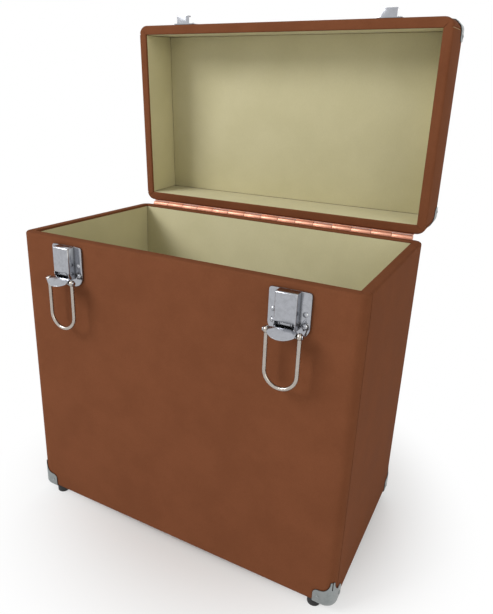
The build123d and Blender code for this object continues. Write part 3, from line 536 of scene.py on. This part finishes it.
def liningPanels(look, skin, height):
    # four wall boards and an end board, each wrapped in cloth, closed end down
    shape = bmesh.new()
    outX, outY = skin["width"] / 2 - look["outside"], skin["depth"] / 2 - look["outside"]
    inX, inY = outX - look["sheet"], outY - look["sheet"]
    low, high = look["outside"], height - look["reveal"]
    for side in (-1, 1):
        nearY, farY = sorted((side * inY, side * outY))
        addSlab(shape, (-outX, nearY, low), (outX, farY, high), look["round"])
        nearX, farX = sorted((side * inX, side * outX))
        addSlab(shape, (nearX, look["gap"] - inY, low), (farX, inY - look["gap"], high), look["round"])
    end = (inX - look["gap"], inY - look["gap"])
    addSlab(shape, (-end[0], -end[1], low), (end[0], end[1], low + look["sheet"]), look["round"])
    return shape


upsideDown = Matrix.Rotation(math.pi, 4, "X")
shells = {
    "case": {"height": 307.0, "end": "case_floor_lining",
             "place": casePlace @ Matrix.Translation((0, 0, 8.0))},
    "lid": {"height": 61.0, "end": "lid_top_lining",
            "place": lidPlace @ Matrix.Translation((0, 0, 376.0)) @ upsideDown}}
for half, shell in shells.items():
    skin, node = wrappedSkin(skinLook, shell["height"]), half + "_cover"
    cover = finishPiece(half + "Skin", skin, node, brownCloth, node, place=shell["place"], sharp=40)
    thicken(cover, skinLook["sheet"])
    panels, node = liningPanels(liningLook, skinLook, shell["height"]), shell["end"]
    finishPiece(half + "Lining", panels, node, lining, half + "_wall_lining", node, place=shell["place"])
print("stage: cloth skins and linings")


softened = {
    "latch_base": {"round": 0.25, "steps": 2}, "latch_housing": {"round": 0.3, "steps": 2},
    "latch_lever": {"round": 0.3, "steps": 2}, "latch_spring": {"round": 0.1, "steps": 1},
    "keeper": {"round": 0.35, "steps": 2}, "bail_pin": {"round": 0.2, "steps": 2},
    "corner": {"round": 0.3, "steps": 2}, "corner_nails": {"round": 0.1, "steps": 1},
    "hinge_case_leaf": {"round": 0.25, "steps": 2}, "hinge_lid_leaf": {"round": 0.25, "steps": 2},
    "hinge_pin": {"round": 0.2, "steps": 1}, "bracket": {"round": 0.35, "steps": 2},
    "rivets": {"round": 0.1, "steps": 1}, "nails": {"round": 0.1, "steps": 1},
    "pins": {"round": 0.2, "steps": 1},
    "handle_core": {"round": 0.2, "steps": 1}, "foot_screws": {"round": 0.25, "steps": 2}}
copying = {"merge": 0.01, "flatTo": 0.5, "keenFrom": 38.0}     # millimetres and degrees


def pressedCopy(node, look):
    # the node's own form with its sharp edges rolled as pressing and plating leave them
    shape = bmesh.new()
    shape.from_mesh(frame["nodes"][node].data)
    bmesh.ops.scale(shape, vec=(1 / mm, 1 / mm, 1 / mm), verts=shape.verts)
    bmesh.ops.remove_doubles(shape, verts=shape.verts, dist=copying["merge"])
    flat, keenAngle = math.radians(copying["flatTo"]), math.radians(copying["keenFrom"])
    bmesh.ops.dissolve_limit(shape, angle_limit=flat, verts=shape.verts, edges=shape.edges)
    keen = [edge for edge in shape.edges if edge.is_convex and edge.calc_face_angle(0.0) > keenAngle]
    roundEdges(shape, keen, look["round"], look["steps"])
    return shape


def camelName(node):
    words = node.split("_")
    return words[0] + "".join(word.capitalize() for word in words[1:])


backToMetres = Matrix.Scale(mm, 4)
for node in sorted(frame["nodes"]):
    fitting = [kind for kind in softened if kind in node]
    if fitting and not node.endswith("board"):
        copied = pressedCopy(node, softened[max(fitting, key=len)])
        finish = slotMaterials[slotOf[node]]
        name, keen = camelName(node), copying["keenFrom"]
        finishPiece(name, copied, node, finish, node, place=backToMetres, sharp=keen)
print("stage: pressed metal")


latchLook = {"inset": 62.0, "top": 309.0}
bailForm = {
    "half": 14.45, "wire": 1.75, "out": 12.2, "drop": 33.3, "end": 68.41, "eye": 3.1, "eyeHalf": 1.9,
    "bore": 1.2, "round": 0.9, "steps": 20, "legSteps": 6, "intoEye": 0.7}


def latchPlace(side):
    # the latch's own drawing: its plate's top edge on the case's front, in the case's drawing
    x = side * (skinLook["width"] / 2 - latchLook["inset"])
    return casePlace @ Matrix.Translation((x, -skinLook["depth"] / 2, latchLook["top"]))


def sweptWire(look):
    # a round wire down one leg, round the end and up the other leg
    shape = bmesh.new()
    legTop = look["drop"] + look["eye"] * look["intoEye"]
    start = Matrix.Translation((-look["half"], -look["out"], -legTop))
    bmesh.ops.create_circle(shape, segments=16, radius=look["wire"], cap_ends=True, matrix=start)
    ring = runOn(shape, shape.edges[:], (0, 0, legTop - look["end"]), look["legSteps"])
    ring = bendOn(shape, ring, (0, -look["out"], -look["end"]), (0, -1, 0), math.pi, look["steps"])
    ring = runOn(shape, ring, (0, 0, look["end"] - legTop), look["legSteps"])
    bmesh.ops.holes_fill(shape, edges=ring, sides=0)
    return shape


def runOn(shape, ring, way, steps):
    # extrudes a ring of edges along a straight line and gives the far ring
    for _ in range(steps):
        pushed = bmesh.ops.extrude_edge_only(shape, edges=ring)["geom"]
        verts = [part for part in pushed if isinstance(part, bmesh.types.BMVert)]
        bmesh.ops.translate(shape, vec=Vector(way) / steps, verts=verts)
        ring = [part for part in pushed if isinstance(part, bmesh.types.BMEdge)]
    return ring


def bendOn(shape, ring, centre, axis, angle, steps):
    # carries a ring of edges round a bend and gives the far ring
    verts = list({vert for edge in ring for vert in edge.verts})
    bent = bmesh.ops.spin(shape, geom=verts + ring, cent=centre, axis=axis, angle=angle, steps=steps,
                          use_merge=False, use_duplicate=False, dvec=(0, 0, 0))
    return [part for part in bent["geom_last"] if isinstance(part, bmesh.types.BMEdge)]


def addTurned(shape, points, centre, axis, steps=32, close=False):
    # a ring turned from a profile given as (radius, along the axis) points
    axis = Vector(axis)
    outward = axis.orthogonal().normalized()
    verts = [shape.verts.new(Vector(centre) + outward * radius + axis * along) for radius, along in points]
    pairs = list(zip(verts, verts[1:])) + ([(verts[-1], verts[0])] if close else [])
    edges = [shape.edges.new(pair) for pair in pairs]
    bmesh.ops.spin(shape, geom=verts + edges, cent=centre, axis=axis, angle=2 * math.pi, steps=steps,
                   use_merge=True, use_duplicate=False, dvec=(0, 0, 0))


def bailShape(look):
    shape = sweptWire(look)
    half, outer, bore, soft = look["eyeHalf"], look["eye"], look["bore"], look["round"]
    lower = [(bore, -half + soft / 2), (bore + soft / 2, -half), (outer - soft, -half),
             (outer, -half + soft)]
    profile = lower + [(radius, -along) for radius, along in reversed(lower)]
    for side in (-1, 1):
        addTurned(shape, profile, (side * look["half"], -look["out"], -look["drop"]), (1, 0, 0), close=True)
    bmesh.ops.remove_doubles(shape, verts=shape.verts, dist=tiny)
    return shape


for sideName, side in (("left", -1), ("right", 1)):
    node, bail = sideName + "_latch_bail", bailShape(bailForm)
    finishPiece(sideName + "LatchBail", bail, node, bailWire, node, place=latchPlace(side), sharp=50)
print("stage: bails")


footLook = {
    "radius": 6.5, "waist": 6.1, "waistHeight": 0.8, "shoulder": 2.2, "height": 8.0, "round": 1.2,
    "recess": 3.6, "recessDepth": 3.0, "recessRound": 0.4, "bore": 1.5}


def footShape(look):
    # a moulded foot, turned about its screw, with its recess below
    radius, waist, soft = look["radius"], look["waist"], look["round"]
    bottom, recess, hollow = -look["height"], look["recess"], look["recessDepth"] - look["height"]
    shape = bmesh.new()
    profile = [(look["bore"], 0), (waist, 0), (waist, -look["waistHeight"]), (radius, -look["shoulder"]),
               (radius, bottom + soft)]
    profile += [(radius - soft * (1 - math.sin(turn)), bottom + soft * (1 - math.cos(turn)))
                for turn in (math.pi / 3, math.pi / 6)]
    profile += [(radius - soft, bottom), (recess + look["recessRound"], bottom),
                (recess, bottom + look["recessRound"]), (recess, hollow), (look["bore"], hollow)]
    addTurned(shape, profile, (0, 0, 0), (0, 0, 1), steps=48, close=True)
    bmesh.ops.remove_doubles(shape, verts=shape.verts, dist=tiny)
    return shape


for node in sorted(frame["nodes"]):
    if node.startswith("foot_") and "screw" not in node:
        low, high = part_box(node)
        middle = (low + high) / 2
        seat = Matrix.Translation((middle.x, middle.y, high.z)) @ Matrix.Scale(mm, 4)
        finishPiece(camelName(node), footShape(footLook), node, rubber, node, place=seat)
print("stage: feet")


gripLook = {
    "halfSpan": 60.0, "barHalf": 53.0, "reach": 30.0, "bend": 16.0, "start": 10.3, "radius": 7.1,
    "flat": 0.94, "welt": 0.8, "weltFrom": 0.985, "endRound": 1.1,
    "legSteps": 2, "bendSteps": 10, "barSteps": 8,
    "stitch": 3.2, "stitchGap": 1.5, "stitchRadius": 0.32, "stitchBeside": 2.6, "barReach": 38.0}


def gripPath(look):
    # where the covered leg begins, its direction, where it ends, and the first bend's centre and turn
    rise = Vector((look["halfSpan"] - look["barHalf"], look["reach"]))
    turn = math.atan2(rise.y, rise.x)
    tangent = look["bend"] * math.tan(turn / 2)
    along = rise.normalized()
    begin = Vector((-look["halfSpan"], 0)) + along * look["start"]
    corner = Vector((-look["barHalf"], look["reach"]))
    bendStart = corner - along * tangent
    centre = Vector((corner.x + tangent, look["reach"] - look["bend"]))
    return begin, along, bendStart, centre, turn


def gripShape(look):
    # the grip drawn in its own plane: x across, y away from the pins, with a welt on the inner side
    shape = bmesh.new()
    begin, along, bendStart, centre, turn = gripPath(look)
    across = Vector((along.y, -along.x, 0))
    facing = Matrix((across, Vector((0, 0, 1)), along.to_3d())).transposed().to_4x4()
    flattened = Matrix.Scale(look["flat"], 4, (0, 1, 0))
    bmesh.ops.create_circle(shape, segments=32, radius=look["radius"], cap_ends=True, matrix=flattened)
    for vert in shape.verts:
        if vert.co.x > look["radius"] * look["weltFrom"]:
            vert.co.x += look["welt"]
    bmesh.ops.transform(shape, matrix=Matrix.Translation(begin.to_3d()) @ facing, verts=shape.verts)
    leg, opposite = bendStart - begin, (-centre.x, centre.y, 0)
    ring = runOn(shape, shape.edges[:], leg.to_3d(), look["legSteps"])
    ring = bendOn(shape, ring, centre.to_3d(), (0, 0, -1), turn, look["bendSteps"])
    ring = runOn(shape, ring, (-2 * centre.x, 0, 0), look["barSteps"])
    ring = bendOn(shape, ring, opposite, (0, 0, -1), turn, look["bendSteps"])
    ring = runOn(shape, ring, (leg.x, -leg.y, 0), look["legSteps"])
    bmesh.ops.holes_fill(shape, edges=ring, sides=0)
    ends = [edge for edge in shape.edges if edge.calc_face_angle(0.0) > math.radians(60)]
    roundEdges(shape, ends, look["endRound"], 3, clamp=True)
    return shape


def stitchShape(look):
    # two rows of stitches beside the welt, along the bar
    shape = bmesh.new()
    pitch = look["stitch"] + look["stitchGap"]
    count = int(2 * look["barReach"] / pitch)
    drop = math.sqrt(look["radius"] ** 2 - look["stitchBeside"] ** 2)
    longer = Matrix.Scale(look["stitch"] / (2 * look["stitchRadius"]), 4, (1, 0, 0))
    for index in range(count):
        x = (index - (count - 1) / 2) * pitch
        for side in (-1, 1):
            beside = side * look["stitchBeside"] * look["flat"]
            place = Matrix.Translation((x, look["reach"] - drop, beside)) @ longer
            bmesh.ops.create_icosphere(shape, subdivisions=2, radius=look["stitchRadius"], matrix=place)
    return shape


handlePoint = Vector(joints["handle_swing"]["pos_m"])
hanging = Matrix(((1, 0, 0), (0, 0, 1), (0, -1, 0))).to_4x4()
handlePlace = Matrix.Translation(handlePoint) @ hanging @ Matrix.Scale(mm, 4)
grip, stitches = gripShape(gripLook), stitchShape(gripLook)
finishPiece("handleGrip", grip, "handle_grip", gripCloth, "handle_grip", place=handlePlace, sharp=50)
finishPiece("gripStitches", stitches, "handle_grip", thread, place=handlePlace, sharp=60)
print("stage: handle")


cameraFit = {
    "place": (0.270848, -0.518983, 0.448392), "azimuth": 27.518, "elevation": 19.477, "roll": 2.035,
    "focus": 554.777, "centreX": 235.963, "centreY": 295.673, "wide": 493, "high": 614, "sensor": 36}


def makeCamera(fit):
    azimuth, elevation, roll = (math.radians(fit[key]) for key in ("azimuth", "elevation", "roll"))
    level = Vector((math.cos(azimuth), math.sin(azimuth), 0))
    flat, fall = math.cos(elevation), math.sin(elevation)
    ahead = Vector((-math.sin(azimuth) * flat, math.cos(azimuth) * flat, -fall))
    upright = level.cross(ahead)
    right = math.cos(roll) * level + math.sin(roll) * upright
    up = math.cos(roll) * upright - math.sin(roll) * level
    data = bpy.data.cameras.new("camera")
    data.sensor_width = fit["sensor"]
    data.lens = data.sensor_width * fit["focus"] / fit["high"]
    data.shift_x = (fit["wide"] / 2 - fit["centreX"]) / fit["high"]
    data.shift_y = (fit["centreY"] - fit["high"] / 2) / fit["high"]
    camera = bpy.data.objects.new("camera", data)
    bpy.context.scene.collection.objects.link(camera)
    turn = Matrix((right, up, -ahead)).transposed().to_4x4()
    camera.matrix_world = Matrix.Translation(fit["place"]) @ turn
    bpy.context.scene.camera = camera


def seenDirectly(tree):
    # 1 for rays that see the background itself, in the view, in metal or through glass
    path = put(tree, "ShaderNodeLightPath").outputs
    either = maths(tree, "MAXIMUM", path["Is Camera Ray"], path["Is Glossy Ray"])
    return maths(tree, "MAXIMUM", either, path["Is Transmission Ray"])


def makeFloor(look):
    shape = bmesh.new()
    bmesh.ops.create_grid(shape, x_segments=8, y_segments=8, size=look["half"])
    mesh = bpy.data.meshes.new("floor")
    shape.to_mesh(mesh)
    shape.free()
    floor = bpy.data.objects.new("floor", mesh)
    bpy.context.scene.collection.objects.link(floor)
    material, tree, shader = newMaterial("paleFloor")
    shader.inputs["Base Color"].default_value = look["colour"]
    shader.inputs["Roughness"].default_value = look["rough"]
    shader.inputs["Specular IOR Level"].default_value = look["gloss"]
    place = put(tree, "ShaderNodeTexCoord").outputs["Object"]
    away = vectorMaths(tree, "LENGTH", place, result="Value")
    fade = spread(tree, away, look["fadeStart"], look["fadeEnd"])
    share = maths(tree, "MULTIPLY", fade, seenDirectly(tree))
    white = put(tree, "ShaderNodeEmission", {"Color": (1, 1, 1, 1), "Strength": 1.0})
    mixed = put(tree, "ShaderNodeMixShader", {0: share, 1: shader.outputs[0], 2: white.outputs[0]})
    below = put(tree, "ShaderNodeNewGeometry").outputs["Backfacing"]     # clear when seen from below
    clear = put(tree, "ShaderNodeBsdfTransparent")
    sided = put(tree, "ShaderNodeMixShader", {0: below, 1: mixed.outputs[0], 2: clear.outputs[0]})
    tree.links.new(sided.outputs[0], tree.nodes["Material Output"].inputs["Surface"])
    mesh.materials.append(material)


def makeLamp(name, look, aimedAt):
    data = bpy.data.lights.new(name, "AREA")
    data.shape = "RECTANGLE"
    data.size, data.size_y = look["size"]
    data.energy = look["power"]
    data.color = look["tint"]
    lamp = bpy.data.objects.new(name, data)
    bpy.context.scene.collection.objects.link(lamp)
    aim = Vector(aimedAt) - Vector(look["place"])
    turn = aim.to_track_quat("-Z", "Y").to_matrix().to_4x4()
    lamp.matrix_world = Matrix.Translation(look["place"]) @ turn


def makeSurroundings(strength):
    world = bpy.data.worlds.new("surroundings")
    bpy.context.scene.world = world
    world.use_nodes = True
    tree = world.node_tree
    tree.nodes.clear()
    lit = put(tree, "ShaderNodeBackground", {"Color": (1, 1, 1, 1), "Strength": strength})
    seen = put(tree, "ShaderNodeBackground", {"Color": (1, 1, 1, 1), "Strength": 1.0})
    mixed = put(tree, "ShaderNodeMixShader", {0: seenDirectly(tree), 1: lit.outputs[0], 2: seen.outputs[0]})
    output = put(tree, "ShaderNodeOutputWorld")
    tree.links.new(mixed.outputs[0], output.inputs["Surface"])


floorLook = {"half": 8.0, "colour": colour(250, 250, 250), "rough": 0.8, "gloss": 0.1, "fadeStart": 0.1,
             "fadeEnd": 0.3}
lamps = {
    "keyLamp": {"place": (-2.1, -2.2, 2.3), "size": (1.5, 1.5), "power": 80.0, "tint": (1, 1, 1)},
    "fillLamp": {"place": (1.9, -0.9, 0.9), "size": (1.6, 1.6), "power": 11.5, "tint": (1, 0.97, 0.82)},
    "backLamp": {"place": (-0.4, 2.7, 1.4), "size": (1.6, 1.6), "power": 24.0, "tint": (1, 1, 1)}}
lampAim = (0, 0, 0.25)
surroundStrength = 0.36

makeCamera(cameraFit)
makeFloor(floorLook)
for lampName, lampLook in lamps.items():
    makeLamp(lampName, lampLook, lampAim)
makeSurroundings(surroundStrength)
bpy.context.scene.view_settings.view_transform = "Standard"
print("stage: camera, floor and lights")
